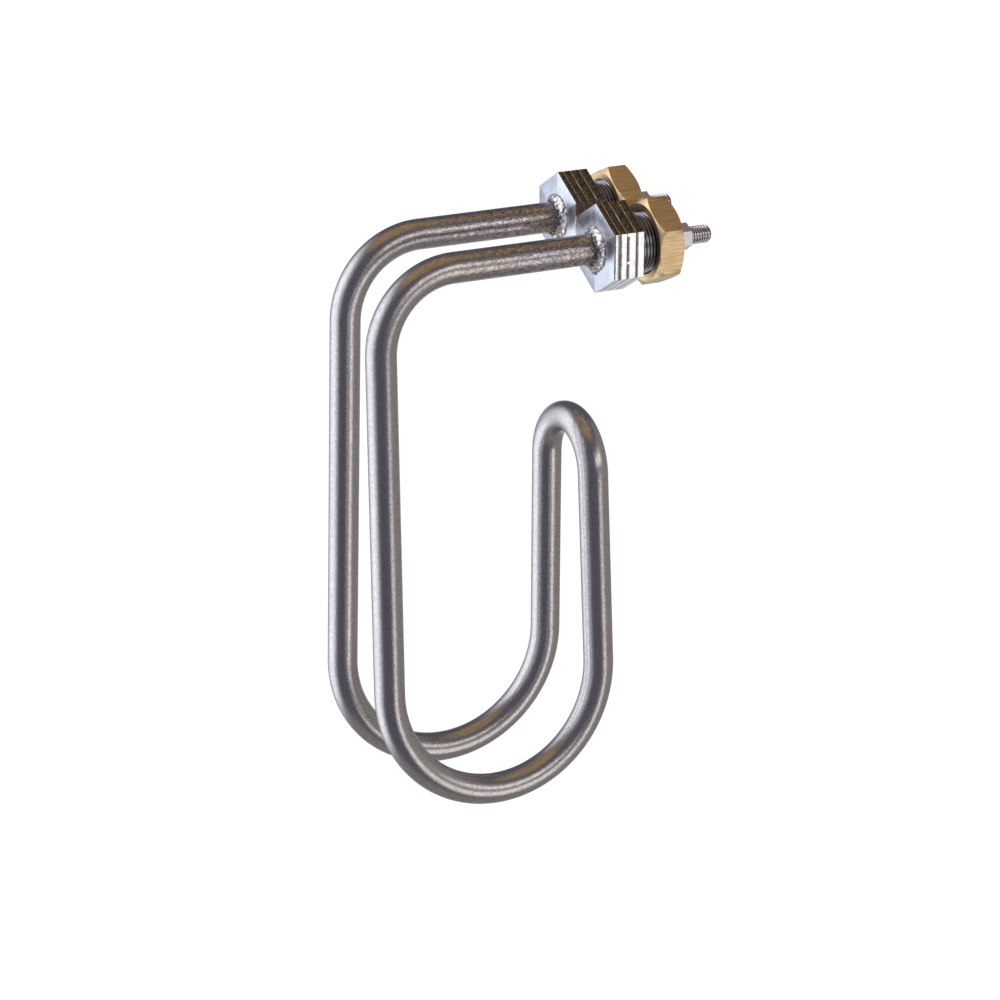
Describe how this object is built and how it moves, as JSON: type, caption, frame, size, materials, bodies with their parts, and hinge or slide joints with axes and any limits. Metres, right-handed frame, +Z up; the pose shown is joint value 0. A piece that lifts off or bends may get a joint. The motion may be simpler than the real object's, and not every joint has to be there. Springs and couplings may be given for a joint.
{
  "type": "immersion heating element",
  "caption": "Heating element for a coffee brewer tank: a metal-sheathed tube bent into a hook with a hairpin tip, held by hexagonal clamping fittings with brass nuts and threaded terminals.",
  "frame": {"origin": "on the outer face of the seat plates, which bears on the tank wall, midway between the two fitting axes", "axes": "+X along the fittings, out of the tank towards the terminals; +Z up, as the element hangs in the tank; +Y to the right fitting"},
  "size_m": [0.1032, 0.0525, 0.1608],
  "materials": {
    "sheath_steel": "satin drawn stainless tube with handling marks and heat tint",
    "plate_steel": "punched steel plate, smooth faces and sheared edges",
    "bushing_steel": "machined steel, dark",
    "pin_steel": "machined steel",
    "braze_metal": "bright brazing filler, as it ran",
    "nut_brass": "machined brass",
    "coil_alloy": "drawn resistance wire",
    "magnesia": "packed powder",
    "ceramic": "unglazed ceramic",
    "seal_resin": "cured resin"
  },
  "bodies": {
    "root": {"sheath_tube": "sheath_steel", "magnesia_fill": "magnesia", "resistance_coil": "coil_alloy", "left_terminal_pin": "pin_steel", "right_terminal_pin": "pin_steel", "left_end_seal": "seal_resin", "right_end_seal": "seal_resin", "left_insulator": "ceramic", "right_insulator": "ceramic", "left_front_plate": "plate_steel", "left_second_plate": "plate_steel", "left_third_plate": "plate_steel", "left_seat_plate": "plate_steel", "right_front_plate": "plate_steel", "right_second_plate": "plate_steel", "right_third_plate": "plate_steel", "right_seat_plate": "plate_steel", "left_bushing": "bushing_steel", "right_bushing": "bushing_steel", "left_braze": "braze_metal", "right_braze": "braze_metal", "left_nut": "nut_brass", "right_nut": "nut_brass"}
  },
  "joints": []
}
